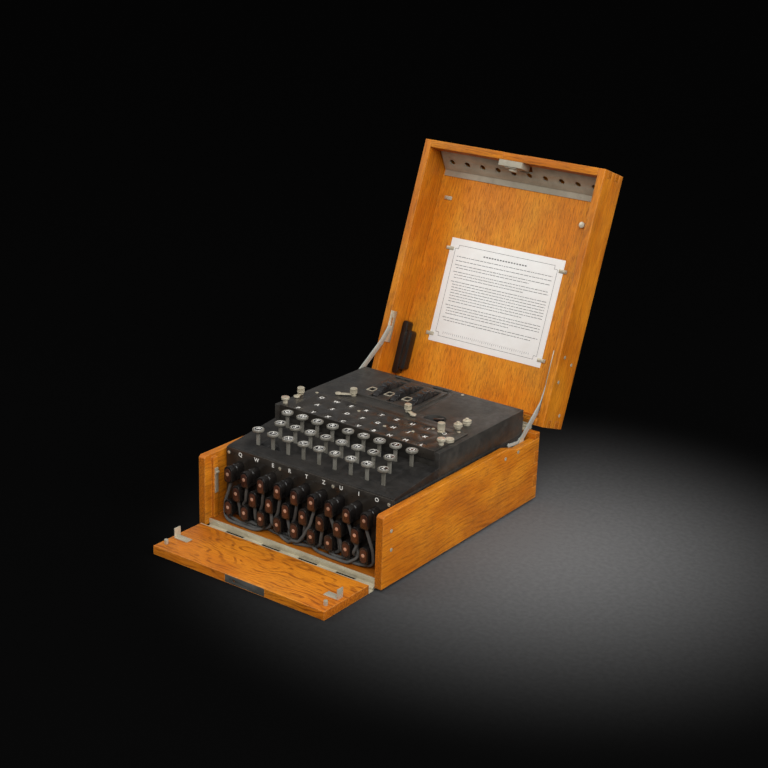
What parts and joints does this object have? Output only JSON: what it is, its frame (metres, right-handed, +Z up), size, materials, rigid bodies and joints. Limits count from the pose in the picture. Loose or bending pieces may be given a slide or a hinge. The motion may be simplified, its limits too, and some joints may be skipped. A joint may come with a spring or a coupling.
{
  "type": "rotor cipher machine",
  "caption": "Wooden cased rotor cipher machine with hinged lid, drop front flap, keyboard, lamp panel, thumbwheel rotors and a plug panel with patch cables.",
  "frame": {"origin": "centre of the case's footprint, on the face that the case stands on", "axes": "+X to the right, +Y to the back, +Z up"},
  "size_m": [0.2808, 0.6034, 0.4196],
  "materials": {
    "case_wood": "varnished",
    "flap_wood": "varnished, strongly figured",
    "nickel": "dull nickel plate",
    "grey_steel": "worn grey paint",
    "grey_paint": "satin grey paint",
    "crinkle_black": "crinkle enamel",
    "inner_board": "laminate",
    "bakelite": "moulded",
    "braid": "braided cotton",
    "lamp_plate": "satin brown black",
    "window_film": "translucent film",
    "bulb_glass": "clear",
    "paper": "matte",
    "rotor_black": "moulded",
    "key_metal": "dull nickel with a black disc"
  },
  "bodies": {
    "case": {"case_floor": "case_wood", "case_walls": "case_wood", "case_hardware": "nickel", "chassis": "crinkle_black", "keyboard_plate": "crinkle_black", "key_contacts": "inner_board", "plugboard_panel": "crinkle_black", "plugs": "bakelite", "patch_cables": "braid", "top_housing": "crinkle_black", "lamp_panel": "lamp_plate", "lamp_windows": "window_film", "lamp_block": "bulb_glass", "rotor_spindle": "grey_steel", "battery_box": "bakelite", "terminals": "nickel"},
    "lid": {"lid_walls": "case_wood", "lid_panel": "case_wood", "bulb_rail": "grey_paint", "lid_hardware": "nickel", "instruction_sheet": "paper", "plug_holders": "bakelite"},
    "flap": {"flap_board": "flap_wood", "flap_hardware": "grey_steel"},
    "stay_left": {"stay_arm_left": "nickel"},
    "stay_right": {"stay_arm_right": "nickel"},
    "cover": {"rotor_cover": "crinkle_black"},
    "latch_left": {"cover_latch_left": "nickel"},
    "latch_right": {"cover_latch_right": "nickel"},
    "panel_latch_lever": {"panel_latch": "nickel"},
    "switch_lever": {"power_switch": "bakelite"},
    "rotor_1": {"rotor_left": "rotor_black"},
    "rotor_2": {"rotor_middle": "rotor_black"},
    "rotor_3": {"rotor_right": "rotor_black"},
    "key_q": {"key_q": "key_metal"},
    "key_w": {"key_w": "key_metal"},
    "key_e": {"key_e": "key_metal"},
    "key_r": {"key_r": "key_metal"},
    "key_t": {"key_t": "key_metal"},
    "key_z": {"key_z": "key_metal"},
    "key_u": {"key_u": "key_metal"},
    "key_i": {"key_i": "key_metal"},
    "key_o": {"key_o": "key_metal"},
    "key_a": {"key_a": "key_metal"},
    "key_s": {"key_s": "key_metal"},
    "key_d": {"key_d": "key_metal"},
    "key_f": {"key_f": "key_metal"},
    "key_g": {"key_g": "key_metal"},
    "key_h": {"key_h": "key_metal"},
    "key_j": {"key_j": "key_metal"},
    "key_k": {"key_k": "key_metal"},
    "key_p": {"key_p": "key_metal"},
    "key_y": {"key_y": "key_metal"},
    "key_x": {"key_x": "key_metal"},
    "key_c": {"key_c": "key_metal"},
    "key_v": {"key_v": "key_metal"},
    "key_b": {"key_b": "key_metal"},
    "key_n": {"key_n": "key_metal"},
    "key_m": {"key_m": "key_metal"},
    "key_l": {"key_l": "key_metal"}
  },
  "joints": [
    {"name": "lid_hinge", "type": "hinge", "parent": "case", "child": "lid", "pos_m": [0, 0.174, 0.0965], "axis": [-1, 0, 0], "range_deg": [-110, 0]},
    {"name": "flap_hinge", "type": "hinge", "parent": "case", "child": "flap", "pos_m": [0, -0.168, 0.002], "axis": [1, 0, 0], "range_deg": [-90, 0]},
    {"name": "stay_right_pivot", "type": "hinge", "parent": "case", "child": "stay_right", "pos_m": [0.127, 0.142, 0.088], "axis": [-1, 0, 0], "range_deg": [-123.7, 0]},
    {"name": "stay_left_pivot", "type": "hinge", "parent": "case", "child": "stay_left", "pos_m": [-0.127, 0.084, 0.091], "axis": [-1, 0, 0], "range_deg": [-141.3, 0]},
    {"name": "cover_hinge", "type": "hinge", "parent": "case", "child": "cover", "pos_m": [-0.0235, 0.139, 0.1306], "axis": [-1, 0, 0], "range_deg": [0, 80]},
    {"name": "cover_latch_left_turn", "type": "hinge", "parent": "cover", "child": "latch_left", "pos_m": [-0.069, 0.047, 0.1291], "axis": [0, 0, 1], "range_deg": [0, 90]},
    {"name": "cover_latch_right_turn", "type": "hinge", "parent": "cover", "child": "latch_right", "pos_m": [0.018, 0.046, 0.1291], "axis": [0, 0, 1], "range_deg": [-60, 0]},
    {"name": "panel_latch_turn", "type": "hinge", "parent": "case", "child": "panel_latch_lever", "pos_m": [-0.1226, 0.005, 0.1291], "axis": [0, 0, 1], "range_deg": [0, 90]},
    {"name": "power_switch_turn", "type": "hinge", "parent": "case", "child": "switch_lever", "pos_m": [0.0585, 0.047, 0.119], "axis": [0, 0, 1], "range_deg": [0, 90]},
    {"name": "rotor_1_spin", "type": "hinge", "parent": "case", "child": "rotor_1", "pos_m": [-0.046, 0.091, 0.095], "axis": [1, 0, 0], "continuous": true},
    {"name": "rotor_2_spin", "type": "hinge", "parent": "case", "child": "rotor_2", "pos_m": [-0.018, 0.091, 0.095], "axis": [1, 0, 0], "continuous": true},
    {"name": "rotor_3_spin", "type": "hinge", "parent": "case", "child": "rotor_3", "pos_m": [0.01, 0.091, 0.095], "axis": [1, 0, 0], "continuous": true},
    {"name": "key_q_press", "type": "slide", "parent": "case", "child": "key_q", "axis": [0, 0, 1], "range_m": [-0.0045, 0], "stiffness_N_per_m": 120, "springref_m": 0.004},
    {"name": "key_w_press", "type": "slide", "parent": "case", "child": "key_w", "axis": [0, 0, 1], "range_m": [-0.0045, 0], "stiffness_N_per_m": 120, "springref_m": 0.004},
    {"name": "key_e_press", "type": "slide", "parent": "case", "child": "key_e", "axis": [0, 0, 1], "range_m": [-0.0045, 0], "stiffness_N_per_m": 120, "springref_m": 0.004},
    {"name": "key_r_press", "type": "slide", "parent": "case", "child": "key_r", "axis": [0, 0, 1], "range_m": [-0.0045, 0], "stiffness_N_per_m": 120, "springref_m": 0.004},
    {"name": "key_t_press", "type": "slide", "parent": "case", "child": "key_t", "axis": [0, 0, 1], "range_m": [-0.0045, 0], "stiffness_N_per_m": 120, "springref_m": 0.004},
    {"name": "key_z_press", "type": "slide", "parent": "case", "child": "key_z", "axis": [0, 0, 1], "range_m": [-0.0045, 0], "stiffness_N_per_m": 120, "springref_m": 0.004},
    {"name": "key_u_press", "type": "slide", "parent": "case", "child": "key_u", "axis": [0, 0, 1], "range_m": [-0.0045, 0], "stiffness_N_per_m": 120, "springref_m": 0.004},
    {"name": "key_i_press", "type": "slide", "parent": "case", "child": "key_i", "axis": [0, 0, 1], "range_m": [-0.0045, 0], "stiffness_N_per_m": 120, "springref_m": 0.004},
    {"name": "key_o_press", "type": "slide", "parent": "case", "child": "key_o", "axis": [0, 0, 1], "range_m": [-0.0045, 0], "stiffness_N_per_m": 120, "springref_m": 0.004},
    {"name": "key_a_press", "type": "slide", "parent": "case", "child": "key_a", "axis": [0, 0, 1], "range_m": [-0.0045, 0], "stiffness_N_per_m": 120, "springref_m": 0.004},
    {"name": "key_s_press", "type": "slide", "parent": "case", "child": "key_s", "axis": [0, 0, 1], "range_m": [-0.0045, 0], "stiffness_N_per_m": 120, "springref_m": 0.004},
    {"name": "key_d_press", "type": "slide", "parent": "case", "child": "key_d", "axis": [0, 0, 1], "range_m": [-0.0045, 0], "stiffness_N_per_m": 120, "springref_m": 0.004},
    {"name": "key_f_press", "type": "slide", "parent": "case", "child": "key_f", "axis": [0, 0, 1], "range_m": [-0.0045, 0], "stiffness_N_per_m": 120, "springref_m": 0.004},
    {"name": "key_g_press", "type": "slide", "parent": "case", "child": "key_g", "axis": [0, 0, 1], "range_m": [-0.0045, 0], "stiffness_N_per_m": 120, "springref_m": 0.004},
    {"name": "key_h_press", "type": "slide", "parent": "case", "child": "key_h", "axis": [0, 0, 1], "range_m": [-0.0045, 0], "stiffness_N_per_m": 120, "springref_m": 0.004},
    {"name": "key_j_press", "type": "slide", "parent": "case", "child": "key_j", "axis": [0, 0, 1], "range_m": [-0.0045, 0], "stiffness_N_per_m": 120, "springref_m": 0.004},
    {"name": "key_k_press", "type": "slide", "parent": "case", "child": "key_k", "axis": [0, 0, 1], "range_m": [-0.0045, 0], "stiffness_N_per_m": 120, "springref_m": 0.004},
    {"name": "key_p_press", "type": "slide", "parent": "case", "child": "key_p", "axis": [0, 0, 1], "range_m": [-0.0045, 0], "stiffness_N_per_m": 120, "springref_m": 0.004},
    {"name": "key_y_press", "type": "slide", "parent": "case", "child": "key_y", "axis": [0, 0, 1], "range_m": [-0.0045, 0], "stiffness_N_per_m": 120, "springref_m": 0.004},
    {"name": "key_x_press", "type": "slide", "parent": "case", "child": "key_x", "axis": [0, 0, 1], "range_m": [-0.0045, 0], "stiffness_N_per_m": 120, "springref_m": 0.004},
    {"name": "key_c_press", "type": "slide", "parent": "case", "child": "key_c", "axis": [0, 0, 1], "range_m": [-0.0045, 0], "stiffness_N_per_m": 120, "springref_m": 0.004},
    {"name": "key_v_press", "type": "slide", "parent": "case", "child": "key_v", "axis": [0, 0, 1], "range_m": [-0.0045, 0], "stiffness_N_per_m": 120, "springref_m": 0.004},
    {"name": "key_b_press", "type": "slide", "parent": "case", "child": "key_b", "axis": [0, 0, 1], "range_m": [-0.0045, 0], "stiffness_N_per_m": 120, "springref_m": 0.004},
    {"name": "key_n_press", "type": "slide", "parent": "case", "child": "key_n", "axis": [0, 0, 1], "range_m": [-0.0045, 0], "stiffness_N_per_m": 120, "springref_m": 0.004},
    {"name": "key_m_press", "type": "slide", "parent": "case", "child": "key_m", "axis": [0, 0, 1], "range_m": [-0.0045, 0], "stiffness_N_per_m": 120, "springref_m": 0.004},
    {"name": "key_l_press", "type": "slide", "parent": "case", "child": "key_l", "axis": [0, 0, 1], "range_m": [-0.0045, 0], "stiffness_N_per_m": 120, "springref_m": 0.004}
  ],
  "couplings": [
    {"joint": "stay_right_pivot", "follows": "lid_hinge", "ratio": 1.12},
    {"joint": "stay_left_pivot", "follows": "lid_hinge", "ratio": 1.28}
  ]
}
